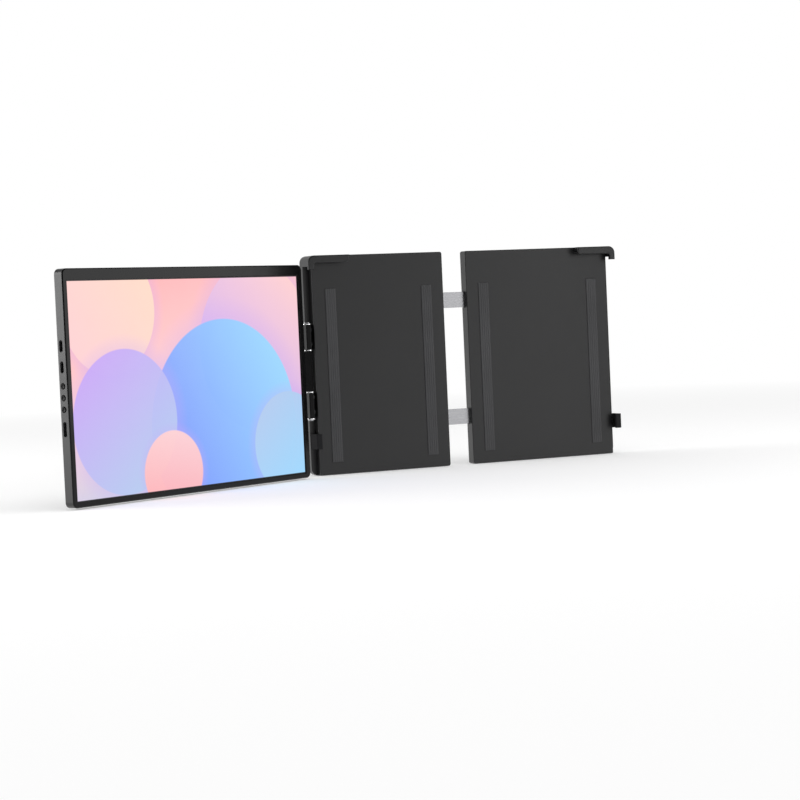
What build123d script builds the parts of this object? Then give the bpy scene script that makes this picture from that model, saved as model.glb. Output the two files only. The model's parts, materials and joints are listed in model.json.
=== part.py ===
from build123d import *
import os

# Screen extender: a telescoping frame hooks over a thin upright panel and carries one display on a side hinge.
# Sizes are in millimetres: +X is to the viewer's right, +Y away from the viewer, +Z up.
# The origin is the seat corner, where the gripped panel's top left rear corner rests.

# Gripped panel
host_width = 304.1
host_slot = 5.0

# Frame plates
frame_top = 5.2
frame_bottom = -187.0
side_wall = 1.75
plate_edge = 4.0
plate_front = 0.6
plate_thick = 10.2
plate_skin = 1.8
plate_rim = 2.0
cover_thick = 1.6
left_arm_end = 131.1
arm_gap = 23.25
outer_radius = 6.0
inner_radius = 2.0
plate_rounding = 0.5

# Ledges beside the gripped panel's edges, with the hinge column on the left one
ledge_front = 6.5
ledge_inset = 0.5
column_width = 11.75
column_back = 13.2
column_slope = 4.5

# Corner hooks
hook_end = 37.5
lip_thick = 2.3
lip_low = -1.35
leg_low = -7.05
leg_inner = 4.1
side_low = -4.2
roof_low = 0.6
lip_end_radius = 3.0
leg_radius = 1.5
hook_rounding = 1.0
hook_strip_inset = 2.0
hook_strip_gap = 0.4

# Side clips
clip_rise = 23.6
clip_height = 13.2
clip_wall = 1.3
clip_tail = 2.0
clip_rounding = 0.7
edge_gap = 0.4

# Grip strips
strip_width = 10.0
strip_inset = 12.0
strip_drop = 29.2
strip_rise = 11.0
strip_sink = 0.4
strip_rounding = 0.3

# Small screws: one size for covers, clips and hinge leaves, one for boards
screw_head = 1.9
screw_head_high = 1.1
screw_shank = 0.95
screw_clearance = 0.15
thread_clearance = 0.02
boss_radius = 3.0
boss_inset = 14.0
boss_floor = 0.6
screw_end_gap = 0.5
recess_long = 2.0
recess_wide = 0.5
recess_deep = 0.6

# Slide rails
rail_inset = 43.5
rail_tall = 14.0
rail_thick = 2.2
rail_gap = 0.15
rail_window_gap = 0.3
rail_bed_tall = 10.0
rail_end_gap = 6.0
rail_screw_inset = 16.0
stop_tall = 17.0
stop_long = 4.0
stop_gap = 0.5
slide_out = 56.0
shoe_long = 28.0
shoe_tall = 20.0
shoe_gap = 0.1
stop_rib = 2.3

# Hinge
hinge_x = -7.72
closed_gap = 0.4
wing_angle = 27.29
barrel_wide = 4.4
barrel_deep = 7.2
barrel_corner = 0.8
ring_radius = 3.7
ring_tall = 0.9
pin_radius = 1.3
pin_clearance = 0.05
pin_head_radius = 2.6
pin_head_tall = 0.9
turning_gap = 0.3
upper_barrel_tall = 23.45
lower_barrel_tall = 24.0
lower_barrel_rise = 13.7
arm_tall = 34.75
link_thick = 2.8
leaf_proud = 1.2
leaf_thick = 2.0
leaf_screw_pitch = 13.0

# Screen case, placed from the hinge axis
hinge_reach = 8.8
hinge_depth = 4.3
display_wide = 268.55
display_tall = 168.2
display_top = -12.75
bezel_side = 5.0
bezel_hinge = 6.6
bezel_top = 9.7
bezel_bottom = 5.15
case_thick = 9.7
case_wall = 1.6
case_back = 1.5
case_radius = 4.5
least_radius = 0.5
back_rounding = 1.2
bezel_thick = 0.9
bezel_chamfer = 0.75
window_border = 0.8
window_chamfer = 0.3
rim_thick = 0.8
rim_deep = 1.3
rim_gap = 0.1
post_radius = 2.2
post_count = 4
post_inset = 20.0

# Display module
module_border = 1.8
panel_thick = 0.9
guide_thick = 1.4
tray_thick = 0.3
rib_wide = 2.0
rib_count = 4
rib_margin = 20.0

# Controller board on the free edge
board_wide = 46.0
board_top = 34.0
board_tall = 98.0
board_thick = 1.0
standoff_tall = 1.6
standoff_radius = 2.4
standoff_inset = 4.0
standoff_gap = 0.3
board_screw_head = 1.6
board_screw_head_high = 0.8
board_screw_shank = 0.7
connector_wide = 5.0
connector_inset = 2.0
ribbon_wide = 22.0
ribbon_long = 60.0
ribbon_thick = 0.25

# Chips: distance right of and below the board's top left corner, width, height and thickness
scaler_chip = (16.0, 14.0, 12.0, 12.0, 1.0)
power_chip = (34.0, 12.0, 7.0, 7.0, 0.9)
memory_chip = (18.0, 38.0, 10.0, 6.0, 0.9)

# Sockets and buttons, measured down from the display's top edge
socket_depth = 5.3
socket_recess = 1.0
socket_long = 7.3
socket_wall = 0.3
socket_gap = 0.15
socket_ear = 1.5
socket_ear_long = 3.0
socket_ear_thick = 0.3
tongue_thick = 0.7
tongue_inset = 1.2
usb_places = (49.3, 65.4)
usb_wide = 8.94
usb_tall = 3.26
hdmi_place = 112.9
hdmi_wide = 11.2
hdmi_tall = 3.2
hdmi_chamfer = 1.0
button_places = (79.8, 88.8, 97.7)
button_radius = 1.95
button_gap = 0.5
button_proud = 0.4
button_sunk = 0.9
dish_radius = 1.45
dish_deep = 0.3
button_stem = 1.2
button_travel = 0.5
flange_long = 7.2
flange_deep = 3.2
flange_thick = 0.8
flange_gap = 0.1
nub_radius = 0.8
nub_long = 0.8
switch_gap = 0.4
switch_long = 3.0
switch_wide = 4.0
switch_tall = 2.0

# Hinge arm
arm_thick = 6.6
arm_leaf_long = 36.0
arm_leaf_thick = 2.0
arm_slot_gap = 0.1
arm_screw_inset = 8.0
arm_screw_pitch = 20.0

# Places that follow from the sizes above
plate_back = plate_front + plate_thick
cover_seat = plate_back - cover_thick
column_seat = column_back - cover_thick
column_right = column_width - side_wall
lip_front = -host_slot - lip_thick
hinge_y = lip_front - closed_gap - hinge_depth
leaf_left = -side_wall - leaf_proud
leaf_right = plate_edge - edge_gap
clip_bottom = frame_bottom + clip_rise
clip_top = clip_bottom + clip_height
lower_barrel = (clip_top + lower_barrel_rise, clip_top + lower_barrel_rise + lower_barrel_tall)
arm_bottom = lower_barrel[1] + turning_gap
arm_top = arm_bottom + arm_tall
upper_barrel = (arm_top + turning_gap, arm_top + turning_gap + upper_barrel_tall)
strip_height = (frame_bottom + strip_rise, frame_top - strip_drop)
rail_places = (frame_top - rail_inset, frame_bottom + rail_inset)
right_arm_start = left_arm_end + arm_gap
right_inner_end = host_width - right_arm_start
rail_middle = (plate_front + plate_skin + cover_seat) / 2
rail_front = rail_middle - rail_thick / 2
rail_back = rail_middle + rail_thick / 2
shoe_end = left_arm_end - plate_rim
shoe_start = shoe_end - shoe_long
rail_tip = shoe_start - stop_rib - slide_out - stop_gap - stop_long
rail_end = host_width - plate_edge - plate_rim - rail_end_gap
case_wide = display_wide + bezel_side + bezel_hinge
case_right = -hinge_reach
case_left = case_right - case_wide
case_top = display_top + bezel_top
case_bottom = display_top - display_tall - bezel_bottom
display_left = case_left + bezel_side
display_right = case_right - bezel_hinge
display_bottom = display_top - display_tall
face = -hinge_depth
shell_front = face + bezel_thick
shell_back = face + case_thick
shell_floor = shell_back - case_back
panel_front = shell_front
guide_front = panel_front + panel_thick
tray_front = guide_front + guide_thick
tray_back = tray_front + tray_thick
board_inset = case_wall + flange_gap + flange_thick + nub_long + button_travel + switch_gap
board_left = case_left + board_inset
board_upper = display_top - board_top
board_lower = board_upper - board_tall
connector_right = board_left + board_wide - connector_inset
connector_left = connector_right - connector_wide
board_back = shell_floor - standoff_tall
board_front = board_back - board_thick
socket_y = face + socket_depth


def block(x, y, z):
    """A box from three low and high pairs."""
    size = [high - low for low, high in (x, y, z)]
    middle = [(high + low) / 2 for low, high in (x, y, z)]
    return Pos(*middle) * Box(*size)


def flat(x, z):
    """A rectangle in X and Z."""
    return Pos((x[0] + x[1]) / 2, (z[0] + z[1]) / 2) * Rectangle(x[1] - x[0], z[1] - z[0])


def slab(outline, y):
    """An outline in X and Z, made solid between two depths."""
    return Pos(0, y[1], 0) * extrude(Plane.XZ * outline, amount=y[1] - y[0])


def round_corner(outline, place, radius):
    """The outline with the corner nearest to a place rounded."""
    corner = outline.vertices().sort_by_distance((place[0], place[1], 0))[0]
    return fillet(corner, radius)


def rod(x, z, y, radius):
    """A cylinder along Y between two depths."""
    return Pos(x, (y[0] + y[1]) / 2, z) * Rot(90, 0, 0) * Cylinder(radius, y[1] - y[0])


def post(x, y, z, radius):
    """A cylinder along Z between two heights."""
    return Pos(x, y, (z[0] + z[1]) / 2) * Cylinder(radius, z[1] - z[0])


def side_rod(x, y, z, radius):
    """A cylinder along X between two places."""
    return Pos((x[0] + x[1]) / 2, y, z) * Rot(0, 90, 0) * Cylinder(radius, x[1] - x[0])


def mirrored(shape):
    """The same shape on the other side of the gripped panel."""
    return mirror(shape, about=Plane.YZ.offset(host_width / 2))


def screw(x, z, y_head, length, facing):
    """A cross-head countersunk screw along Y: its flat head shows at y_head and faces +Y or -Y."""
    cone = Pos(0, 0, -screw_head_high / 2) * Cone(screw_shank, screw_head, screw_head_high)
    shank = Pos(0, 0, -length / 2) * Cylinder(screw_shank, length)
    slot = Pos(0, 0, -recess_deep / 2) * Box(recess_long, recess_wide, recess_deep)
    cross = slot + Rot(0, 0, 90) * slot
    return Pos(x, y_head, z) * Rot(-90 * facing, 0, 0) * (cone + shank - cross)


def screw_hole(x, z, y_head, length, facing):
    """The countersunk hole that such a screw passes through."""
    wide = screw_clearance
    cone = Pos(0, 0, -screw_head_high / 2) * Cone(screw_shank + wide, screw_head + wide, screw_head_high)
    shank = Pos(0, 0, -length / 2) * Cylinder(screw_shank + wide, length)
    return Pos(x, y_head, z) * Rot(-90 * facing, 0, 0) * (cone + shank)


def plate_outline(left_edge, inner_end):
    """A plate seen from the front, with the corners of its inner end rounded."""
    outline = flat((left_edge, inner_end), (frame_bottom, frame_top))
    outline = round_corner(outline, (inner_end, frame_top), inner_radius)
    return round_corner(outline, (inner_end, frame_bottom), inner_radius)


def half_outline(left_edge, inner_end):
    """One frame half seen from the front, with the corner block at its upper left."""
    corner = flat((-side_wall, plate_edge + plate_rim), (side_low, frame_top))
    outline = plate_outline(left_edge, inner_end) + corner
    outline = round_corner(outline, (-side_wall, frame_top), outer_radius)
    return round_corner(outline, (left_edge, frame_bottom), outer_radius)


def boss_places(inner_end):
    """Where a half's cover screws sit."""
    middle = (frame_top + frame_bottom) / 2
    return [
        (x, z)
        for x in (plate_edge + boss_inset, inner_end - boss_inset)
        for z in (frame_top - boss_inset, middle, frame_bottom + boss_inset)
    ]


def hook():
    """Roof, front lip, leg and side wall that wrap the gripped panel's top corner."""
    lip = flat((-side_wall, hook_end), (lip_low, frame_top))
    lip += flat((-side_wall, leg_inner), (leg_low, frame_top))
    lip = round_corner(lip, (hook_end, lip_low), lip_end_radius)
    lip = round_corner(lip, (leg_inner, lip_low), leg_radius)
    front = slab(lip, (lip_front, -host_slot))
    roof = block((-side_wall, hook_end), (lip_front, plate_front + plate_skin), (roof_low, frame_top))
    side = block((-side_wall, 0), (lip_front, plate_front + plate_skin), (side_low, frame_top))
    outer = round_corner(
        flat((-side_wall, hook_end), (leg_low, frame_top)), (-side_wall, frame_top), outer_radius
    )
    body = (front + roof + side) & slab(outer, (lip_front, plate_front + plate_skin))
    return fillet(body.faces().sort_by(Axis.Y)[0].edges(), hook_rounding)


def strip_places(inner_end):
    """The two upright grip strips on a half."""
    low = plate_edge + strip_inset
    high = inner_end - strip_inset
    return [(low, low + strip_width), (high - strip_width, high)]


def bracket(left_edge, inner_end, ledge_right, ledge_back):
    """One frame half: a tray open at the back, with its ledge, corner block and hook."""
    outline = half_outline(left_edge, inner_end)
    plate = slab(plate_outline(plate_edge, inner_end), (plate_front, cover_seat))
    plate = fillet(plate.faces().sort_by(Axis.Y)[0].edges(), plate_rounding)
    pocket = block(
        (plate_edge + plate_rim, inner_end - plate_rim),
        (plate_front + plate_skin, cover_seat),
        (frame_bottom + plate_rim, frame_top - plate_rim),
    )
    ledge = block((left_edge, ledge_right), (ledge_front, ledge_back), (frame_bottom, frame_top))
    corner = block((-side_wall, plate_edge + plate_rim), (plate_front, ledge_back), (side_low, frame_top))
    body = (plate - pocket + ledge + corner) & slab(outline, (plate_front, ledge_back))
    body += hook()
    for x, z in boss_places(inner_end):
        body += rod(x, z, (plate_front + plate_skin, cover_seat), boss_radius)
        body -= rod(x, z, (plate_front + boss_floor, cover_seat), screw_shank + thread_clearance)
    for x in strip_places(inner_end):
        body -= block(x, (plate_front, plate_front + strip_sink), strip_height)
    return body - clip_screw_pilot()


def rail_windows(x):
    """The openings in an end wall that both rails pass through."""
    reach = rail_tall / 2 + rail_window_gap
    depth = (rail_front - rail_window_gap, rail_back + rail_window_gap)
    return [block(x, depth, (place - reach, place + reach)) for place in rail_places]


def left_bracket():
    """The left half, with its rail windows, the ribs that stop the rails and the hinge screw holes."""
    body = bracket(-side_wall, left_arm_end, column_right, column_seat)
    for window in rail_windows((shoe_end, left_arm_end)):
        body -= window
    for place in rail_places:
        for side in (-1, 1):
            edges = sorted((place + side * (rail_tall / 2 + rail_window_gap), place + side * shoe_tall / 2))
            rib_x = (shoe_start - stop_rib, shoe_start)
            body += block(rib_x, (plate_front + plate_skin, cover_seat), edges)
    for x, z in leaf_screw_places():
        body -= rod(x, z, (ledge_front, column_seat), screw_shank + thread_clearance)
    return body


def rail_screw_places():
    """Two screws in each rail, inside the right half."""
    inset = plate_rim + rail_screw_inset
    return [(x, z) for z in rail_places for x in (right_arm_start + inset, rail_end - rail_screw_inset)]


def right_bracket():
    """The right half, with its rail windows and the beds that the rails are screwed to."""
    body = mirrored(bracket(ledge_inset, right_inner_end, plate_edge + plate_rim, plate_back))
    for window in rail_windows((right_arm_start, right_arm_start + plate_rim)):
        body -= window
    for place in rail_places:
        height = (place - rail_bed_tall / 2, place + rail_bed_tall / 2)
        bed_x = (right_arm_start + plate_rim, rail_end)
        body += block(bed_x, (plate_front + plate_skin, rail_front), height)
    for x, z in rail_screw_places():
        body -= rod(x, z, (plate_front + boss_floor, rail_front), screw_shank + thread_clearance)
    return body


def cover_holes(inner_end):
    """The countersunk holes of one rear cover."""
    return [screw_hole(x, z, plate_back, cover_thick, 1) for x, z in boss_places(inner_end)]


def back_rim(body):
    """The outer edges of the faces that show from behind."""
    edges = [edge for face in body.faces() if face.normal_at().Y > 0.3 for edge in face.edges()]
    return [edge for edge in edges if edges.count(edge) == 1]


def left_rear_cover():
    """The left half's back, which rises over the hinge column."""
    corners = [
        (-side_wall, column_seat),
        (column_right + edge_gap, column_seat),
        (column_right + edge_gap, cover_seat),
        (left_arm_end, cover_seat),
        (left_arm_end, plate_back),
        (column_right + column_slope, plate_back),
        (column_right, column_back),
        (-side_wall, column_back),
    ]
    profile = extrude(Polygon(*corners, align=None), amount=frame_top - frame_bottom)
    outline = half_outline(-side_wall, left_arm_end)
    body = (Pos(0, 0, frame_bottom) * profile) & slab(outline, (cover_seat, column_back))
    body = fillet(back_rim(body), plate_rounding)
    for hole in cover_holes(left_arm_end):
        body -= hole
    return body


def right_rear_cover():
    """The right half's flat back."""
    outline = plate_outline(plate_edge + plate_rim + edge_gap, right_inner_end)
    body = slab(outline, (cover_seat, plate_back))
    body = fillet(back_rim(body), plate_rounding)
    for hole in cover_holes(right_inner_end):
        body -= hole
    return mirrored(body)


def cover_screws(inner_end):
    """The screws of one rear cover."""
    length = plate_back - plate_front - boss_floor - screw_end_gap
    return [screw(x, z, plate_back, length, 1) for x, z in boss_places(inner_end)]


def grip_strips(inner_end):
    """Rubber strips that the gripped panel's back rests on."""
    depth = (0, plate_front + strip_sink)
    strips = [block(x, depth, strip_height) for x in strip_places(inner_end)]
    return [fillet(strip.faces().sort_by(Axis.Y)[0].edges(), strip_rounding) for strip in strips]


def hook_strip():
    """A rubber strip under the hook's roof, on the gripped panel's top edge."""
    depth = (-host_slot + hook_strip_gap, -hook_strip_gap)
    return block((hook_strip_inset, hook_end - hook_strip_inset), depth, (0, roof_low))


def clip_screw_place():
    """The middle of a side clip's tail."""
    return leaf_right / 2, (clip_bottom + clip_top) / 2


def clip_screw_pilot():
    """The hole in the ledge for a side clip's screw."""
    x, z = clip_screw_place()
    return rod(x, z, (ledge_front, plate_back - boss_floor), screw_shank + thread_clearance)


def side_clip():
    """A small hook round the gripped panel's side edge."""
    height = (clip_bottom, clip_top)
    tail = block((-clip_wall, leaf_right), (ledge_front - clip_tail, ledge_front), height)
    wall = block((-clip_wall, 0), (lip_front, ledge_front), height)
    lip = block((-clip_wall, leg_inner), (lip_front, -host_slot), height)
    body = tail + wall + lip
    body = fillet(body.faces().sort_by(Axis.Y)[0].edges(), clip_rounding)
    x, z = clip_screw_place()
    return body - screw_hole(x, z, ledge_front - clip_tail, clip_tail, -1)


def clip_screw():
    """The screw of one side clip."""
    x, z = clip_screw_place()
    length = clip_tail + plate_back - ledge_front - boss_floor - screw_end_gap
    return screw(x, z, ledge_front - clip_tail, length, -1)


def slide_rail(place):
    """A flat bar fixed in the right half, with a taller stop at its left tip."""
    height = (place - rail_tall / 2, place + rail_tall / 2)
    stop_height = (place - stop_tall / 2, place + stop_tall / 2)
    depth = (rail_front, rail_back)
    body = block((rail_tip, rail_end), depth, height)
    body += block((rail_tip, rail_tip + stop_long), depth, stop_height)
    for x, z in rail_screw_places():
        body -= screw_hole(x, z, rail_back, rail_thick, 1)
    return body


def rail_screws():
    """The screws that hold both rails to their beds."""
    length = rail_back - plate_front - boss_floor - screw_end_gap
    return [screw(x, z, rail_back, length, 1) for x, z in rail_screw_places()]


def guide_shoes():
    """Slippery blocks in the left half that guide the rails and hold them by friction."""
    depth = (plate_front + plate_skin, cover_seat - shoe_gap)
    window_depth = (rail_front - rail_gap, rail_back + rail_gap)
    reach = rail_tall / 2 + rail_gap
    shoes = []
    for place in rail_places:
        x = (shoe_start + shoe_gap, shoe_end - shoe_gap)
        shoe = block(x, depth, (place - shoe_tall / 2, place + shoe_tall / 2))
        shoes.append(shoe - block(x, window_depth, (place - reach, place + reach)))
    return shoes


def leaf_screw_places():
    """Two screws in each hinge leaf."""
    x = leaf_right / 2
    middles = [(low + high) / 2 for low, high in (upper_barrel, lower_barrel)]
    return [(x, z + side * leaf_screw_pitch / 2) for z in middles for side in (-1, 1)]


def hinge_knuckle(span):
    """A flat sided barrel on the hinge axis, with the link and leaf that fix it to the column."""
    height = (span[0] + ring_tall, span[1] - ring_tall)
    link = [
        (hinge_x - link_thick / 2, hinge_y),
        (hinge_x + link_thick / 2, hinge_y),
        (leaf_left + link_thick, ledge_front),
        (leaf_left, ledge_front),
    ]
    barrel = Pos(hinge_x, hinge_y) * RectangleRounded(barrel_wide, barrel_deep, barrel_corner)
    body = Pos(0, 0, height[0]) * extrude(barrel, amount=height[1] - height[0])
    body += Pos(0, 0, height[0]) * extrude(Polygon(*link, align=None), amount=height[1] - height[0])
    body += block((leaf_left, leaf_right), (ledge_front - leaf_thick, ledge_front), height)
    body -= post(hinge_x, hinge_y, height, pin_radius + pin_clearance)
    for x, z in leaf_screw_places():
        body -= screw_hole(x, z, ledge_front - leaf_thick, leaf_thick, -1)
    return body


def hinge_rings():
    """Bright washers at both ends of each barrel."""
    rings = []
    for low, high in (upper_barrel, lower_barrel):
        for height in ((low, low + ring_tall), (high - ring_tall, high)):
            ring = post(hinge_x, hinge_y, height, ring_radius)
            ring = chamfer(ring.edges().filter_by(GeomType.CIRCLE), ring_tall / 5)
            rings.append(ring - post(hinge_x, hinge_y, height, pin_radius + pin_clearance))
    return rings


def hinge_screws():
    """The screws of both hinge leaves."""
    length = leaf_thick + column_seat - ledge_front - screw_end_gap
    return [screw(x, z, ledge_front - leaf_thick, length, -1) for x, z in leaf_screw_places()]


def case_outline(inset):
    """The screen case seen from the front, drawn in by an inset."""
    middle = Pos((case_left + case_right) / 2, (case_top + case_bottom) / 2)
    size = (case_wide - 2 * inset, case_top - case_bottom - 2 * inset)
    return middle * RectangleRounded(*size, max(case_radius - inset, least_radius))


def post_places():
    """Where the bezel's screw posts stand, in the border above the display."""
    z = display_top + module_border + post_radius + turning_gap
    step = (case_wide - 2 * post_inset) / (post_count - 1)
    return [(case_left + post_inset + i * step, z) for i in range(post_count)]


def front_bezel():
    """The frame round the display, with a rim that nests in the shell and posts for the case screws."""
    body = slab(case_outline(0), (face, shell_front))
    body = chamfer(body.faces().sort_by(Axis.Y)[0].edges(), bezel_chamfer)
    window_x = (display_left - window_border, display_right + window_border)
    window_z = (display_bottom - window_border, display_top + window_border)
    body -= slab(flat(window_x, window_z), (face, shell_front))
    inner = body.faces().sort_by(Axis.Y)[0].inner_wires()[0].edges()
    body = chamfer(inner, window_chamfer)
    rim = case_outline(case_wall + rim_gap) - case_outline(case_wall + rim_gap + rim_thick)
    body += slab(rim, (shell_front, shell_front + rim_deep))
    body -= block(
        (case_right - 2 * case_wall - rim_thick, case_right),
        (shell_front, shell_front + rim_deep),
        (arm_bottom - arm_slot_gap, arm_top + arm_slot_gap),
    )
    for x, z in post_places():
        body += rod(x, z, (shell_front, shell_floor), post_radius)
        body -= rod(x, z, (shell_front + boss_floor, shell_floor), screw_shank + thread_clearance)
    return body


def module_layer(front, back):
    """One layer of the display module."""
    x = (display_left - module_border, display_right + module_border)
    return block(x, (front, back), (display_bottom - module_border, display_top + module_border))


def board_places():
    """The four screw places of the controller board, the left two clear of the sockets' inner ends."""
    first = case_left + socket_recess + socket_long + standoff_gap + standoff_radius
    return [
        (x, z)
        for x in (first, board_left + board_wide - standoff_inset)
        for z in (board_upper - standoff_inset, board_lower + standoff_inset)
    ]


def arm_screw_places():
    """The four screws that hold the hinge arm's leaf to the shell's back."""
    first = case_right - case_wall - arm_screw_inset
    middle = (arm_bottom + arm_top) / 2
    return [
        (x, middle + side * arm_screw_pitch / 2) for x in (first, first - arm_screw_pitch) for side in (-1, 1)
    ]


def usb_outline(extra):
    """A USB-C socket's rounded section, drawn out by an extra."""
    return SlotOverall(usb_wide + 2 * extra, usb_tall + 2 * extra, rotation=90)


def hdmi_outline(extra):
    """A mini-HDMI socket's section, with two corners cut, drawn out by an extra."""
    outline = Rectangle(hdmi_tall + 2 * extra, hdmi_wide + 2 * extra)
    return chamfer(outline.vertices().group_by(Axis.X)[-1], hdmi_chamfer)


def along_edge(outline, drop, x):
    """A socket section placed on the free edge and made solid between two X places."""
    frame = Plane(origin=(x[0], socket_y, display_top - drop), x_dir=(0, 1, 0), z_dir=(1, 0, 0))
    return extrude(frame * outline, amount=x[1] - x[0])


def rear_shell():
    """The screen's back and side walls, with every opening on its free edge and the arm's slot."""
    body = slab(case_outline(0), (shell_front, shell_back))
    body = fillet(body.faces().sort_by(Axis.Y)[-1].edges(), back_rounding)
    body -= slab(case_outline(case_wall), (shell_front, shell_floor))
    wall_x = (case_left, case_left + case_wall)
    for drop in usb_places:
        body -= along_edge(usb_outline(socket_gap), drop, wall_x)
    body -= along_edge(hdmi_outline(socket_gap), hdmi_place, wall_x)
    for drop in button_places:
        body -= side_rod(wall_x, socket_y, display_top - drop, button_radius + button_gap)
    body -= block(
        (case_right - case_wall, case_right),
        (-arm_thick / 2 - arm_slot_gap, arm_thick / 2 + arm_slot_gap),
        (arm_bottom - arm_slot_gap, arm_top + arm_slot_gap),
    )
    for x, z in board_places():
        body += rod(x, z, (board_back, shell_floor), standoff_radius)
        body -= rod(x, z, (board_back, shell_back - boss_floor), board_screw_shank + thread_clearance)
    for x, z in arm_screw_places() + post_places():
        body -= screw_hole(x, z, shell_back, case_back, 1)
    for x in rib_places():
        body += block((x, x + rib_wide), (tray_back, shell_floor), (display_bottom, display_top))
    return body


def rib_places():
    """Upright ribs between the board and the arm's leaf that hold the display module forward."""
    first = connector_left + ribbon_long + rib_margin
    last = case_right - case_wall - arm_leaf_long - rib_margin
    return [first + i * (last - first) / (rib_count - 1) for i in range(rib_count)]


def controller_board():
    """The circuit board, cut out round its sockets and drilled for its screws."""
    depth = (board_front, board_back)
    body = block((board_left, board_left + board_wide), depth, (board_lower, board_upper))
    socket_x = (board_left, case_left + socket_recess + socket_long + socket_gap)
    for drop, wide in [(drop, usb_wide) for drop in usb_places] + [(hdmi_place, hdmi_wide)]:
        reach = wide / 2 + socket_gap
        z = display_top - drop
        body -= block(socket_x, depth, (z - reach, z + reach))
    for x, z in board_places():
        body -= rod(x, z, depth, board_screw_shank + screw_clearance)
    return body


def board_chips():
    """Packages on the board: a scaler, a power chip, a memory and the ribbon's connector."""
    connector_depth = (tray_back + ribbon_thick, board_front)
    chips = [block((connector_left, connector_right), connector_depth, ribbon_height())]
    for right, down, wide, tall, high in (scaler_chip, power_chip, memory_chip):
        x = (board_left + right - wide / 2, board_left + right + wide / 2)
        z = (board_upper - down - tall / 2, board_upper - down + tall / 2)
        chips.append(block(x, (board_front - high, board_front), z))
    return chips


def ribbon_height():
    """The ribbon's upper and lower edges, at the board's middle."""
    middle = (board_upper + board_lower) / 2
    return (middle - ribbon_wide / 2, middle + ribbon_wide / 2)


def panel_ribbon():
    """The flat lead from the display module's back to the board's connector."""
    x = (connector_left, connector_left + ribbon_long)
    return block(x, (tray_back, tray_back + ribbon_thick), ribbon_height())


def board_screws():
    """Pan head screws that hold the board to the shell."""
    screws = []
    for x, z in board_places():
        head = rod(x, z, (board_front - board_screw_head_high, board_front), board_screw_head)
        shank = rod(x, z, (board_front, shell_back - boss_floor - screw_end_gap), board_screw_shank)
        screws.append(head + shank)
    return screws


def socket_ears(drop, wide):
    """Two tabs that lie on the board beside a socket."""
    start = case_left + socket_recess + socket_long - socket_ear_long
    ears = []
    for side in (-1, 1):
        inner = display_top - drop + side * (wide / 2 - socket_wall)
        outer = display_top - drop + side * (wide / 2 + socket_ear)
        depth = (board_front - socket_ear_thick, board_front)
        ears.append(block((start, start + socket_ear_long), depth, sorted((inner, outer))))
    return ears


def socket(outline, drop, wide):
    """A socket: a thin shell closed at its inner end, a tongue and two board tabs."""
    start = case_left + socket_recess
    end = start + socket_long
    body = along_edge(outline(0), drop, (start, end))
    body -= along_edge(outline(-socket_wall), drop, (start, end - socket_wall))
    tongue_z = (display_top - drop - wide / 2 + tongue_inset, display_top - drop + wide / 2 - tongue_inset)
    tongue_y = (socket_y - tongue_thick / 2, socket_y + tongue_thick / 2)
    body += block((start + tongue_inset, end - socket_wall), tongue_y, tongue_z)
    for ear in socket_ears(drop, wide):
        body += ear
    return body - along_edge(outline(-socket_wall), drop, (start, start + tongue_inset))


def tact_switches():
    """Small switches on the board, just inside the buttons."""
    x = (board_left, board_left + switch_long)
    depth = (board_front - switch_tall, board_front)
    heights = [display_top - drop for drop in button_places]
    return [block(x, depth, (z - switch_wide / 2, z + switch_wide / 2)) for z in heights]


def button(drop):
    """A round cap in the free edge, with a stem, a flange behind the wall and a nub for its switch."""
    z = display_top - drop
    cap_end = case_left + button_sunk
    flange_start = case_left + case_wall + flange_gap
    flange_end = flange_start + flange_thick
    cap = side_rod((case_left - button_proud, cap_end), socket_y, z, button_radius)
    cap = fillet(cap.edges().sort_by(Axis.X)[0], button_proud / 2)
    dish = (dish_radius**2 + dish_deep**2) / (2 * dish_deep)
    cap -= Pos(case_left - button_proud + dish_deep - dish, socket_y, z) * Rot(0, 0, 180) * Sphere(dish)
    body = cap + side_rod((cap_end, flange_start), socket_y, z, button_stem)
    depth = (socket_y - flange_deep / 2, socket_y + flange_deep / 2)
    body += block((flange_start, flange_end), depth, (z - flange_long / 2, z + flange_long / 2))
    return body + side_rod((flange_end, flange_end + nub_long), socket_y, z, nub_radius)


def hinge_arm():
    """The flat arm from the hinge axis into the case, ending in a leaf on the shell's back."""
    height = (arm_bottom, arm_top)
    inner = case_right - case_wall
    body = post(0, 0, height, arm_thick / 2)
    body += block((inner, 0), (-arm_thick / 2, arm_thick / 2), height)
    leaf_depth = (shell_floor - arm_leaf_thick, shell_floor)
    body += block((inner - arm_leaf_long, inner), leaf_depth, height)
    body -= post(0, 0, height, pin_radius + thread_clearance)
    for x, z in arm_screw_places():
        body -= rod(x, z, leaf_depth, screw_shank + thread_clearance)
    return body


def hinge_pin():
    """The pin through both barrels and the arm, with a head at each end."""
    low = lower_barrel[0] - turning_gap
    high = upper_barrel[1] + turning_gap
    body = post(0, 0, (low, high), pin_radius)
    for height in ((low - pin_head_tall, low), (high, high + pin_head_tall)):
        body += post(0, 0, height, pin_head_radius)
    ends = body.edges().filter_by(GeomType.CIRCLE).group_by(Axis.Z)
    return chamfer(ends[0] + ends[-1], pin_head_tall / 3)


def through_screws(places, length):
    """Screws put in from the screen's back."""
    return [screw(x, z, shell_back, length, 1) for x, z in places]


def placed(shape):
    """A screen piece, turned to the wing angle about the hinge axis."""
    pieces = shape if isinstance(shape, list) else [shape]
    return [Pos(hinge_x, hinge_y, 0) * Rot(0, 0, wing_angle) * piece for piece in pieces]


def save(name, shape):
    """Writes one node, joining a list of separate solids into one group."""
    pieces = shape if isinstance(shape, list) else [shape]
    export_step(pieces[0] if len(pieces) == 1 else Compound(children=pieces), f"parts/{name}.step")


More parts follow.
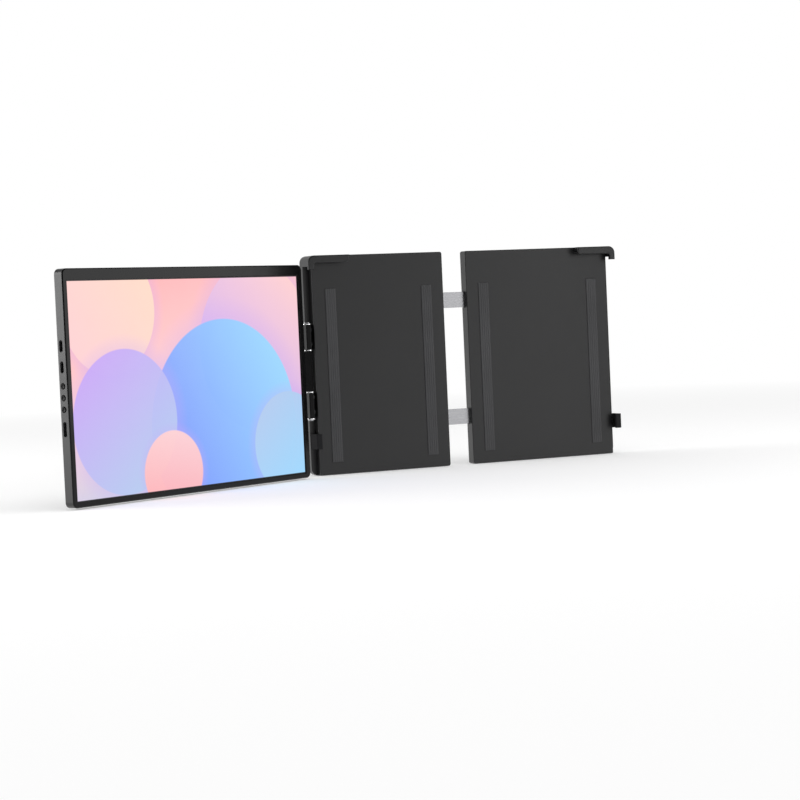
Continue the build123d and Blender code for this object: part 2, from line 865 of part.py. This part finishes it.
frame_pieces = {
    "left_bracket": left_bracket(),
    "left_rear_cover": left_rear_cover(),
    "left_cover_screws": cover_screws(left_arm_end),
    "left_grip_strips": grip_strips(left_arm_end),
    "left_hook_strip": hook_strip(),
    "left_side_clip": side_clip(),
    "left_clip_screw": clip_screw(),
    "guide_shoes": guide_shoes(),
    "upper_hinge_knuckle": hinge_knuckle(upper_barrel),
    "lower_hinge_knuckle": hinge_knuckle(lower_barrel),
    "hinge_rings": hinge_rings(),
    "hinge_screws": hinge_screws(),
    "right_bracket": right_bracket(),
    "right_rear_cover": right_rear_cover(),
    "right_cover_screws": [mirrored(piece) for piece in cover_screws(right_inner_end)],
    "right_grip_strips": [mirrored(piece) for piece in grip_strips(right_inner_end)],
    "right_hook_strip": mirrored(hook_strip()),
    "right_side_clip": mirrored(side_clip()),
    "right_clip_screw": mirrored(clip_screw()),
    "upper_slide_rail": slide_rail(rail_places[0]),
    "lower_slide_rail": slide_rail(rail_places[1]),
    "rail_screws": rail_screws(),
}

arm_screw_length = case_back + arm_leaf_thick
case_screw_length = shell_back - shell_front - boss_floor - screw_end_gap

screen_pieces = {
    "front_bezel": front_bezel(),
    "display_panel": module_layer(panel_front, guide_front),
    "light_guide": module_layer(guide_front, tray_front),
    "backlight_tray": module_layer(tray_front, tray_back),
    "rear_shell": rear_shell(),
    "controller_board": controller_board(),
    "board_chips": board_chips(),
    "board_screws": board_screws(),
    "panel_ribbon": panel_ribbon(),
    "upper_usb_c_port": socket(usb_outline, usb_places[0], usb_wide),
    "lower_usb_c_port": socket(usb_outline, usb_places[1], usb_wide),
    "mini_hdmi_port": socket(hdmi_outline, hdmi_place, hdmi_wide),
    "tact_switches": tact_switches(),
    "case_screws": through_screws(post_places(), case_screw_length),
    "hinge_arm": hinge_arm(),
    "arm_screws": through_screws(arm_screw_places(), arm_screw_length),
    "hinge_pin": hinge_pin(),
    "upper_button": button(button_places[0]),
    "middle_button": button(button_places[1]),
    "lower_button": button(button_places[2]),
}

os.makedirs("parts", exist_ok=True)
for name, shape in frame_pieces.items():
    save(name, shape)
for name, shape in screen_pieces.items():
    save(name, placed(shape))
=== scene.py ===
import json
import math

import bmesh
import bpy
from mathutils import Matrix, Vector


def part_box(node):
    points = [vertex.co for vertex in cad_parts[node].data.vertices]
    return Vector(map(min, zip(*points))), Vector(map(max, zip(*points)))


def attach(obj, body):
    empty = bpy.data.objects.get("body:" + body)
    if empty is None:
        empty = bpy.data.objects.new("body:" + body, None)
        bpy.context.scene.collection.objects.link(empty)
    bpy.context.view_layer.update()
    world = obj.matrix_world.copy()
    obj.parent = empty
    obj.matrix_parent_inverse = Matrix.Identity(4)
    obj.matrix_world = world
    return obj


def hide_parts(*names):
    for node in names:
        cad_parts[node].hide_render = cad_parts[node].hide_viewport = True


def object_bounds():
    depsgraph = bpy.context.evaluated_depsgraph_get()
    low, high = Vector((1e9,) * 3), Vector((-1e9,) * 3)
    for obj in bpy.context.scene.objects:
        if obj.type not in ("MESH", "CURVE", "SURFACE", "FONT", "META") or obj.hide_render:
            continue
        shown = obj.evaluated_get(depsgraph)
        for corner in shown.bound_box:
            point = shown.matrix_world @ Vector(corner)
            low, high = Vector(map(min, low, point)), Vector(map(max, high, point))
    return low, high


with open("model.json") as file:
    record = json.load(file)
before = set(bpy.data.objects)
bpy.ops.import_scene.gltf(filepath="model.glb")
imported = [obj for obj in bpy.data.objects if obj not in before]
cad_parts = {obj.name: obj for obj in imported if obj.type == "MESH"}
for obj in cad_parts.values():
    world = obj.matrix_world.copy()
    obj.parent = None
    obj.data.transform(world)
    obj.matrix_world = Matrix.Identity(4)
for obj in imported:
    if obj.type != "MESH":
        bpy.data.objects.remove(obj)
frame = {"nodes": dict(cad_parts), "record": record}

# Looks of the screen extender, in metres, in the solids' frame: X right, Y away from the viewer, Z up.
cad_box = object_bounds()

x_axis = 0
y_axis = 1
z_axis = 2

# Camera
camera_place = Vector((-0.7271732, -1.7475193, -0.0510159))
camera_aim = Vector((0.0833119, 0.0, -0.1251407))
camera_roll = math.radians(-2.5863)
camera_lens = 97.649
sensor_width = 36.0

# Light: lamps are given as place, aim, width, height and radiance
side_lamp = ((-1.75, 0.70, 0.20), (-0.15, -0.05, -0.09), 1.5, 1.3, 4.8)
top_lamp = ((0.20, -0.60, 2.20), (0.0, 0.0, -0.10), 2.6, 2.0, 1.1)
front_lamp = ((1.70, -1.90, 0.40), (0.10, 0.0, -0.09), 1.4, 1.4, 1.7)
right_lamp = ((1.25, -0.70, 0.05), (-0.20, -0.12, -0.09), 0.7, 1.0, 2.2)
ambient = 0.55

# Parts of the surround that are dark to reflections: direction, outer and inner half angle
dark_front = ((-0.35, -0.92, 0.17), math.radians(57), math.radians(33))
dark_above = ((0.0, 0.0, 1.0), math.radians(58), math.radians(36))
dark_level = 0.10

# Flag to the right: its place, its near and far edge, its foot and its top
flag_place = 0.47
flag_near = -0.162
flag_far = 0.55
flag_low = -0.192
flag_high = 0.60

# Floor: its tone, its glow near the object, the same to reflections, and where it turns to plain white
floor_size = 60.0
floor_gap = 0.0004
floor_white = 0.82
floor_lift = 0.22
floor_shine = 0.80
floor_fade = (0.75, 1.9)

# Rubber strips: their ribs and their rounded ends
strip_width = 0.010
rib_pitch = 0.002
rib_depth = 0.00025
rib_steps = 6
rib_fullness = 0.6
end_rounding = 0.0006
end_shoulder = 0.3
end_drop = 0.5
sharp_angle = math.radians(40)

# Colours
black = (0.0, 0.0, 0.0)
white = (1.0, 1.0, 1.0)
flag_black = (0.01, 0.01, 0.01)
black_plastic = (0.0048, 0.0048, 0.0052)
black_paint = (0.0026, 0.0026, 0.0028)
matte_black = (0.0220, 0.0220, 0.0230)
rubber_grey = (0.0550, 0.0550, 0.0570)
nylon_white = (0.62, 0.61, 0.57)
steel_grey = (0.29, 0.29, 0.30)
ring_bright = (0.82, 0.82, 0.83)
oxide_black = (0.085, 0.085, 0.090)
guide_clear = (0.80, 0.83, 0.85)
dot_white = (0.95, 0.95, 0.95)
tray_bright = (0.70, 0.70, 0.72)
board_green = (0.020, 0.130, 0.055)
chip_black = (0.020, 0.020, 0.021)
socket_dark = (0.090, 0.090, 0.095)
ribbon_amber = (0.42, 0.20, 0.05)
display_black = (0.008, 0.008, 0.010)
coral = (1.000, 0.400, 0.410)
pale_pink = (1.000, 0.640, 0.640)
peach = (1.000, 0.720, 0.560)
lavender = (0.560, 0.380, 0.920)
periwinkle = (0.150, 0.240, 0.980)
sky = (0.310, 0.700, 1.000)
mist = (0.450, 0.600, 0.860)

# Noise: the range that most of it fills, its plain and its fine detail
noise_range = (0.3, 0.7)
plain_detail = 2.0
fine_detail = 3.0
bevel_samples = 6

# Moulded finishes: colour, roughness, gloss, width and depth of the grain, and refraction where it is unusual
plastic_ior = 1.5
clip_ior = 1.06
moulded_finishes = {
    "frame_black": (black_plastic, 0.40, 0.34, 0.00045, 0.000012),
    "hinge_black": (black_paint, 0.28, 0.10, 0.00070, 0.000005),
    "case_black": (black_plastic, 0.30, 0.40, 0.00040, 0.000006),
    "button_black": (black_paint, 0.34, 0.08, 0.00030, 0.000006),
    "grip_rubber": (rubber_grey, 0.70, 0.30, 0.00030, 0.000014),
    "nylon": (nylon_white, 0.45, 0.50, 0.00080, 0.000008),
    "chip_black": (chip_black, 0.50, 0.35, 0.00025, 0.000006),
    "border_black": (black_paint, 0.12, 0.13, 0.00040, 0.000004),
    "arm_black": (black_paint, 0.22, 0.08, 0.00060, 0.000004),
    "clip_black": (matte_black, 0.85, 0.50, 0.00040, 0.000012, clip_ior),
}
moulded_edge = 0.0003
tone_scale = 22.0
tone_detail = 4.0
moulded_tones = (0.88, 1.14)
sheen_scale = 90.0
moulded_sheen = 0.012

# Brushed finishes: colour, roughness, fineness of the lines along X, Y and Z, and how metallic
brushed_finishes = {
    "rail_steel": (steel_grey, 0.30, (40.0, 5000.0, 5000.0), 1.0),
    "bright_ring": (ring_bright, 0.16, (200.0, 200.0, 6000.0), 1.0),
    "black_screw": (oxide_black, 0.36, (900.0, 900.0, 900.0), 0.8),
    "tray_metal": (tray_bright, 0.28, (4000.0, 4000.0, 30.0), 1.0),
    "socket_steel": (socket_dark, 0.36, (60.0, 3000.0, 3000.0), 1.0),
    "ribbon": (ribbon_amber, 0.40, (30.0, 1500.0, 1500.0), 0.0),
}
brushed_edge = 0.0002
brushed_depth = 0.000004
brushed_tones = (0.86, 1.10)
brushed_sheen = 0.07

# Nodes whose finish differs from the rest of their slot
own_finishes = {
    "front_bezel": "border_black",
    "hinge_arm": "arm_black",
    "left_side_clip": "clip_black",
    "right_side_clip": "clip_black",
}

# Light guide: its printed dots and its sheen
dot_scale = 900.0
dot_rim = (0.15, 0.25)
guide_sheen_scale = 60.0
guide_sheen = (0.08, 0.16)
guide_clarity = 0.6

# Circuit board: its traces and its sheen
trace_scale = 260.0
trace_offset = 0.35
gap_tone = 0.8
trace_tone = 1.8
board_sheen_scale = 200.0
board_sheen = (0.3, 0.45)

# Display, placed from the hinge axis as the solids are
hinge_axis = Vector((-0.00772, -0.012, 0.0))
wing_angle = math.radians(27.29)
display_low = Vector((-0.28395, -0.18095))
display_high = Vector((-0.0154, -0.01275))
display_edge = 0.0002
display_front = (math.sin(wing_angle), -math.cos(wing_angle), 0.0)
front_range = (0.4, 0.6)
display_sheen_scale = 70.0
display_sheen = (0.30, 0.36)
display_gloss = 0.20
display_glow = 0.97
face_scale = 9000.0
face_depth = 0.000004
face_edge = 0.0001

# Picture: a ground that rises across the display, under discs with a soft shadow. A disc is given by its
# centre and radius in shares of the display, its two colours and the angle at which one turns to the other.
ground_rise = (-0.4, 0.9)
ground_low = (-0.25, 0.35)
ground_high = (0.30, 0.95)
discs = (
    ((0.16, 0.86), 0.30, pale_pink, peach, 0.6),
    ((0.80, 0.66), 0.42, lavender, pale_pink, 0.9),
    ((0.64, 0.28), 0.52, periwinkle, sky, 0.5),
    ((0.21, 0.34), 0.34, lavender, mist, -0.9),
    ((0.93, 0.16), 0.26, sky, mist, 2.2),
    ((0.40, 0.08), 0.20, coral, pale_pink, 1.4),
)
disc_cover = 0.94
disc_blur = 0.0004
shadow_depth = 0.30
shadow_start = 0.96
shadow_end = 1.22


def new_material(name):
    """A node material and its main shader."""
    material = bpy.data.materials.new(name)
    material.use_nodes = True
    tree = material.node_tree
    return material, tree, tree.nodes["Principled BSDF"]


def new_object(name, data):
    """An object in the scene."""
    made = bpy.data.objects.new(name, data)
    bpy.context.scene.collection.objects.link(made)
    return made


def add(tree, kind, **settings):
    """A new node, with its own settings."""
    made = tree.nodes.new("ShaderNode" + kind)
    for key, value in settings.items():
        setattr(made, key, value)
    return made


def feed(tree, made, socket, value):
    """Sets a socket to a number or colour, or links it to another node's output."""
    if isinstance(value, bpy.types.NodeSocket):
        tree.links.new(value, made.inputs[socket])
    else:
        made.inputs[socket].default_value = value


def coordinates(tree, kind="Object"):
    """A piece's own coordinates, or another kind of them."""
    return add(tree, "TexCoord").outputs[kind]


def math_node(tree, operation, first, second=0.0):
    """The output of a Math node."""
    made = add(tree, "Math", operation=operation)
    feed(tree, made, 0, first)
    feed(tree, made, 1, second)
    return made.outputs[0]


def length(tree, vector):
    """The length of a vector."""
    made = add(tree, "VectorMath", operation="LENGTH")
    feed(tree, made, 0, vector)
    return made.outputs["Value"]


def dot(tree, vector, direction):
    """How far a vector goes in a direction."""
    made = add(tree, "VectorMath", operation="DOT_PRODUCT")
    feed(tree, made, 0, vector)
    feed(tree, made, 1, direction)
    return made.outputs["Value"]


def spread(tree, value, low, high, from_low=noise_range[0], from_high=noise_range[1]):
    """A value carried from one range to another and held to its ends. By default it is a noise value."""
    made = add(tree, "MapRange")
    feed(tree, made, "Value", value)
    feed(tree, made, "From Min", from_low)
    feed(tree, made, "From Max", from_high)
    feed(tree, made, "To Min", low)
    feed(tree, made, "To Max", high)
    return made.outputs["Result"]


def noise(tree, scale, detail=plain_detail, stretch=None):
    """Noise in the piece's own coordinates, drawn out along an axis if asked."""
    coords = coordinates(tree)
    if stretch:
        drawn = add(tree, "Mapping")
        feed(tree, drawn, "Vector", coords)
        feed(tree, drawn, "Scale", stretch)
        coords = drawn.outputs["Vector"]
    made = add(tree, "TexNoise")
    feed(tree, made, "Vector", coords)
    feed(tree, made, "Scale", scale)
    feed(tree, made, "Detail", detail)
    return made.outputs["Fac"]


def opaque(colour):
    """A colour with its alpha."""
    return (*colour, 1.0)


def shade(colour, factor):
    """A colour made lighter or darker."""
    return tuple(channel * factor for channel in colour)


def blend_colours(tree, factor, first, second):
    """A colour between two others."""
    made = add(tree, "Mix", data_type="RGBA")
    feed(tree, made, 0, factor)
    for socket, value in ((6, first), (7, second)):
        feed(tree, made, socket, value if isinstance(value, bpy.types.NodeSocket) else opaque(value))
    return made.outputs[2]


def two_tones(tree, factor, colour, tones):
    """A colour that drifts between a darker and a lighter tone of itself."""
    return blend_colours(tree, factor, shade(colour, tones[0]), shade(colour, tones[1]))


def surface(tree, shader, height, distance, edge):
    """Bump from a height, on normals that round the edges a little."""
    rounded = add(tree, "Bevel", samples=bevel_samples)
    feed(tree, rounded, "Radius", edge)
    bump = add(tree, "Bump")
    feed(tree, bump, "Strength", 1.0)
    feed(tree, bump, "Distance", distance)
    feed(tree, bump, "Height", height)
    feed(tree, bump, "Normal", rounded.outputs["Normal"])
    feed(tree, shader, "Normal", bump.outputs["Normal"])


def moulded(name, colour, roughness, gloss, grain, depth, ior=plastic_ior):
    """Moulded plastic or paint: a fine spark-eroded grain, a faint drift of tone and uneven sheen."""
    material, tree, shader = new_material(name)
    tone = spread(tree, noise(tree, tone_scale, tone_detail), 0.0, 1.0)
    feed(tree, shader, "Base Color", two_tones(tree, tone, colour, moulded_tones))
    uneven = noise(tree, sheen_scale, fine_detail)
    sheen = spread(tree, uneven, roughness - moulded_sheen, roughness + moulded_sheen)
    feed(tree, shader, "Roughness", sheen)
    feed(tree, shader, "Specular IOR Level", gloss)
    feed(tree, shader, "IOR", ior)
    surface(tree, shader, noise(tree, 1.0 / grain, fine_detail), depth, moulded_edge)
    return material


def brushed(name, colour, roughness, fineness, metal):
    """Metal brushed along one axis, or film with lines along it."""
    material, tree, shader = new_material(name)
    lines = noise(tree, 1.0, fine_detail, fineness)
    tone = spread(tree, lines, 0.0, 1.0)
    feed(tree, shader, "Base Color", two_tones(tree, tone, colour, brushed_tones))
    sheen = spread(tree, lines, roughness - brushed_sheen, roughness + brushed_sheen)
    feed(tree, shader, "Roughness", sheen)
    feed(tree, shader, "Metallic", metal)
    surface(tree, shader, lines, brushed_depth, brushed_edge)
    return material


def clear_sheet(name, colour):
    """Clear acrylic with faint printed dots."""
    material, tree, shader = new_material(name)
    dots = add(tree, "TexVoronoi")
    feed(tree, dots, "Vector", coordinates(tree))
    feed(tree, dots, "Scale", dot_scale)
    spots = spread(tree, dots.outputs["Distance"], 1.0, 0.0, *dot_rim)
    feed(tree, shader, "Base Color", blend_colours(tree, spots, colour, dot_white))
    feed(tree, shader, "Roughness", spread(tree, noise(tree, guide_sheen_scale), *guide_sheen))
    feed(tree, shader, "Transmission Weight", guide_clarity)
    return material


def circuit_board(name, colour):
    """Solder mask with faint traces."""
    material, tree, shader = new_material(name)
    traces = add(tree, "TexBrick", offset=trace_offset)
    feed(tree, traces, "Vector", coordinates(tree))
    feed(tree, traces, "Scale", trace_scale)
    feed(tree, traces, "Color1", opaque(colour))
    feed(tree, traces, "Color2", opaque(shade(colour, gap_tone)))
    feed(tree, traces, "Mortar", opaque(shade(colour, trace_tone)))
    feed(tree, shader, "Base Color", traces.outputs["Color"])
    feed(tree, shader, "Roughness", spread(tree, noise(tree, board_sheen_scale), *board_sheen))
    return material


def matte(name):
    """A material with no gloss, its nodes and its main shader."""
    material, tree, shader = new_material(name)
    feed(tree, shader, "Roughness", 1.0)
    feed(tree, shader, "Specular IOR Level", 0.0)
    return material, tree, shader


def disc(tree, place, colour, centre, radius, low, high, tilt):
    """The picture with one more disc laid over it, lit across from one colour to another."""
    offset = add(tree, "VectorMath", operation="SUBTRACT")
    feed(tree, offset, 0, place)
    feed(tree, offset, 1, (*centre, 0.0))
    reach = length(tree, offset.outputs[0])
    across = dot(tree, offset.outputs[0], (math.cos(tilt), math.sin(tilt), 0.0))
    fill = blend_colours(tree, spread(tree, across, 0.0, 1.0, -radius, radius), low, high)
    shadow = spread(tree, reach, shadow_depth, 0.0, radius * shadow_start, radius * shadow_end)
    shaded = blend_colours(tree, shadow, colour, lavender)
    inside = spread(tree, reach, disc_cover, 0.0, radius - disc_blur, radius + disc_blur)
    return blend_colours(tree, inside, shaded, fill)


def inset(tree, value, whole):
    """How far a place along a length is from the nearer end."""
    from_middle = math_node(tree, "ABSOLUTE", math_node(tree, "SUBTRACT", value, whole / 2))
    return math_node(tree, "SUBTRACT", whole / 2, from_middle)


def display_picture(tree):
    """A soft ground of pinks and lilac under large discs, in the display's own plane, on its front alone."""
    turned = add(tree, "Mapping")
    feed(tree, turned, "Vector", coordinates(tree))
    feed(tree, turned, "Rotation", (0.0, 0.0, -wing_angle))
    feed(tree, turned, "Location", -(Matrix.Rotation(-wing_angle, 3, "Z") @ hinge_axis))
    parts = add(tree, "SeparateXYZ")
    feed(tree, parts, 0, turned.outputs["Vector"])
    size = display_high - display_low
    right = math_node(tree, "SUBTRACT", parts.outputs["X"], display_low.x)
    above = math_node(tree, "SUBTRACT", parts.outputs["Z"], display_low.y)
    flat = add(tree, "CombineXYZ")
    feed(tree, flat, "X", right)
    feed(tree, flat, "Y", above)
    place = flat.outputs[0]
    rise = dot(tree, place, (ground_rise[0] / size.x, ground_rise[1] / size.y, 0.0))
    ground = blend_colours(tree, spread(tree, rise, 0.0, 1.0, *ground_low), mist, pale_pink)
    colour = blend_colours(tree, spread(tree, rise, 0.0, 1.0, *ground_high), ground, coral)
    for centre, radius, low, high, tilt in discs:
        middle = (centre[0] * size.x, centre[1] * size.y)
        colour = disc(tree, place, colour, middle, radius * size.y, low, high, tilt)
    edge = math_node(tree, "MINIMUM", inset(tree, right, size.x), inset(tree, above, size.y))
    lit = spread(tree, edge, 0.0, 1.0, 0.0, display_edge)
    facing = dot(tree, coordinates(tree, "Normal"), display_front)
    shown = math_node(tree, "MULTIPLY", lit, spread(tree, facing, 0.0, 1.0, *front_range))
    return blend_colours(tree, shown, black, colour)


def lit_display(name):
    """A lit screen behind a fine anti-glare face."""
    material, tree, shader = new_material(name)
    feed(tree, shader, "Base Color", opaque(display_black))
    feed(tree, shader, "Roughness", spread(tree, noise(tree, display_sheen_scale), *display_sheen))
    feed(tree, shader, "Specular IOR Level", display_gloss)
    feed(tree, shader, "Emission Color", display_picture(tree))
    feed(tree, shader, "Emission Strength", display_glow)
    surface(tree, shader, noise(tree, face_scale), face_depth, face_edge)
    return material


def ribbed_bar(bm, low, high, along, up):
    """A rubber bar between two corners, with rounded ribs along it on its low face and rounded ends."""
    across = x_axis + y_axis + z_axis - along - up
    front = low[up]
    back = high[up]
    whole = high[across] - low[across]
    count = max(2, round(whole / rib_pitch))
    width = whole / count
    profile = [(low[across], back)]
    for i in range(count):
        for step in range(1 if i else 0, rib_steps + 1):
            angle = math.pi * step / rib_steps
            sunk = rib_depth * (1 - math.sin(angle) ** rib_fullness)
            profile.append((low[across] + (i + (1 - math.cos(angle)) / 2) * width, front + sunk))
    profile.append((high[across], back))
    shoulder = end_rounding * end_shoulder
    stations = (
        (low[along], end_rounding),
        (low[along] + shoulder, shoulder),
        (low[along] + end_rounding, 0.0),
        (high[along] - end_rounding, 0.0),
        (high[along] - shoulder, shoulder),
        (high[along], end_rounding),
    )
    middle = (low[across] + high[across]) / 2
    rings = []
    for at, drawn_in in stations:
        ring = []
        for side, height in profile:
            point = [0.0, 0.0, 0.0]
            point[along] = at
            point[across] = middle + (side - middle) * (1 - drawn_in / whole * 2)
            point[up] = height + (back - height) * drawn_in / (back - front) * end_drop
            ring.append(bm.verts.new(point))
        rings.append(ring)
    for first, second in zip(rings, rings[1:]):
        for i in range(len(profile)):
            j = (i + 1) % len(profile)
            bm.faces.new((first[i], first[j], second[j], second[i]))
    bm.faces.new(rings[0])
    bm.faces.new(list(reversed(rings[-1])))


def rubber_strips(node, body, along, up, material):
    """Ribbed rubber in the place of a node's plain strips: an upright pair, or one along the top."""
    low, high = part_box(node)
    spans = [(low, high)]
    if along == z_axis:
        spans = [
            (low, Vector((low.x + strip_width, high.y, high.z))),
            (Vector((high.x - strip_width, low.y, low.z)), high),
        ]
    bm = bmesh.new()
    for span in spans:
        ribbed_bar(bm, *span, along, up)
    bmesh.ops.recalc_face_normals(bm, faces=bm.faces)
    mesh = bpy.data.meshes.new(node + "_ribbed")
    bm.to_mesh(mesh)
    bm.free()
    mesh.materials.append(material)
    mesh.shade_smooth()
    mesh.set_sharp_from_angle(angle=sharp_angle)
    piece = new_object(node + "_ribbed", mesh)
    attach(piece, body)
    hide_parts(node)


def area_lamp(name, place, aim, width, height, radiance):
    """A soft rectangular lamp of a given radiance."""
    light = bpy.data.lights.new(name, "AREA")
    light.shape = "RECTANGLE"
    light.size = width
    light.size_y = height
    light.energy = radiance * math.pi * width * height
    lamp = new_object(name, light)
    lamp.location = place
    lamp.rotation_mode = "QUATERNION"
    lamp.rotation_quaternion = (Vector(aim) - Vector(place)).to_track_quat("-Z", "Y")
    lamp.visible_camera = False
    return lamp


def dark_side(tree, aim, outer, inner):
    """One towards a dark part of the surround, fading to zero round it."""
    facing = dot(tree, coordinates(tree, "Generated"), Vector(aim).normalized())
    return spread(tree, facing, 0.0, 1.0, math.cos(outer), math.cos(inner))


def make_world():
    """A white surround, which gives less light than it shows and reflects darker in front and overhead."""
    world = bpy.data.worlds.new("surround")
    bpy.context.scene.world = world
    world.use_nodes = True
    tree = world.node_tree
    background = tree.nodes["Background"]
    rays = add(tree, "LightPath").outputs
    dark = math_node(tree, "MAXIMUM", dark_side(tree, *dark_front), dark_side(tree, *dark_above))
    reflected = spread(tree, dark, 1.0, dark_level, 0.0, 1.0)
    level = spread(tree, rays["Is Glossy Ray"], ambient, reflected, 0.0, 1.0)
    seen = math_node(tree, "MAXIMUM", rays["Is Camera Ray"], rays["Is Transmission Ray"])
    feed(tree, background, "Color", opaque(white))
    feed(tree, background, "Strength", math_node(tree, "MAXIMUM", level, seen))


def make_floor():
    """A plain pale floor that keeps the object's shadow, and turns to white far off."""
    mesh = bpy.data.meshes.new("floor")
    half = floor_size / 2
    level = cad_box[0].z - floor_gap
    corners = [(-half, -half, level), (half, -half, level), (half, half, level), (-half, half, level)]
    mesh.from_pydata(corners, [], [(0, 1, 2, 3)])
    floor = new_object("floor", mesh)
    material, tree, shader = matte("pale_floor")
    far = spread(tree, length(tree, coordinates(tree)), 0.0, 1.0, *floor_fade)
    feed(tree, shader, "Base Color", blend_colours(tree, far, shade(white, floor_white), black))
    feed(tree, shader, "Emission Color", opaque(white))
    rays = add(tree, "LightPath").outputs
    seen = math_node(tree, "MAXIMUM", rays["Is Camera Ray"], rays["Is Glossy Ray"])
    seen = math_node(tree, "MAXIMUM", seen, rays["Is Transmission Ray"])
    near = spread(tree, rays["Is Glossy Ray"], floor_lift, floor_shine, 0.0, 1.0)
    glow = spread(tree, far, near, 1.0, 0.0, 1.0)
    feed(tree, shader, "Emission Strength", math_node(tree, "MULTIPLY", seen, glow))
    mesh.materials.append(material)


def make_flag():
    """A black studio flag to the right, met only by reflections, that shades the border at the hinge."""
    mesh = bpy.data.meshes.new("flag")
    sides = ((flag_near, flag_low), (flag_far, flag_low), (flag_far, flag_high), (flag_near, flag_high))
    mesh.from_pydata([(flag_place, y, z) for y, z in sides], [], [(0, 1, 2, 3)])
    flag = new_object("flag", mesh)
    material, tree, shader = matte("flag_cloth")
    feed(tree, shader, "Base Color", opaque(flag_black))
    mesh.materials.append(material)
    flag.visible_camera = False
    flag.visible_diffuse = False
    flag.visible_transmission = False
    flag.visible_shadow = False


def make_camera():
    """The photograph's viewing angle."""
    forward = (camera_aim - camera_place).normalized()
    level_right = forward.cross(Vector((0.0, 0.0, 1.0))).normalized()
    level_up = level_right.cross(forward)
    right = level_right * math.cos(camera_roll) + level_up * math.sin(camera_roll)
    up = right.cross(forward)
    data = bpy.data.cameras.new("camera")
    data.lens = camera_lens
    data.sensor_width = sensor_width
    camera = new_object("camera", data)
    turn = Matrix((right, up, -forward)).transposed().to_4x4()
    camera.matrix_world = Matrix.Translation(camera_place) @ turn
    bpy.context.scene.camera = camera


finishes = {name: moulded(name, *values) for name, values in moulded_finishes.items()}
finishes.update({name: brushed(name, *values) for name, values in brushed_finishes.items()})
finishes["display_glass"] = lit_display("display_glass")
finishes["light_guide"] = clear_sheet("light_guide", guide_clear)
finishes["board_green"] = circuit_board("board_green", board_green)

for part in frame["record"]["subparts"]:
    mesh = frame["nodes"][part["node"]].data
    mesh.materials.clear()
    mesh.materials.append(finishes[own_finishes.get(part["node"], part["material_slot"])])

for side in ("left", "right"):
    rubber_strips(side + "_grip_strips", side + "_frame", z_axis, y_axis, finishes["grip_rubber"])
    rubber_strips(side + "_hook_strip", side + "_frame", x_axis, z_axis, finishes["grip_rubber"])

make_world()
make_floor()
make_flag()
make_camera()
area_lamp("side_lamp", *side_lamp)
area_lamp("top_lamp", *top_lamp).visible_glossy = False
area_lamp("front_lamp", *front_lamp)
area_lamp("right_lamp", *right_lamp)
bpy.context.scene.view_settings.view_transform = "Standard"
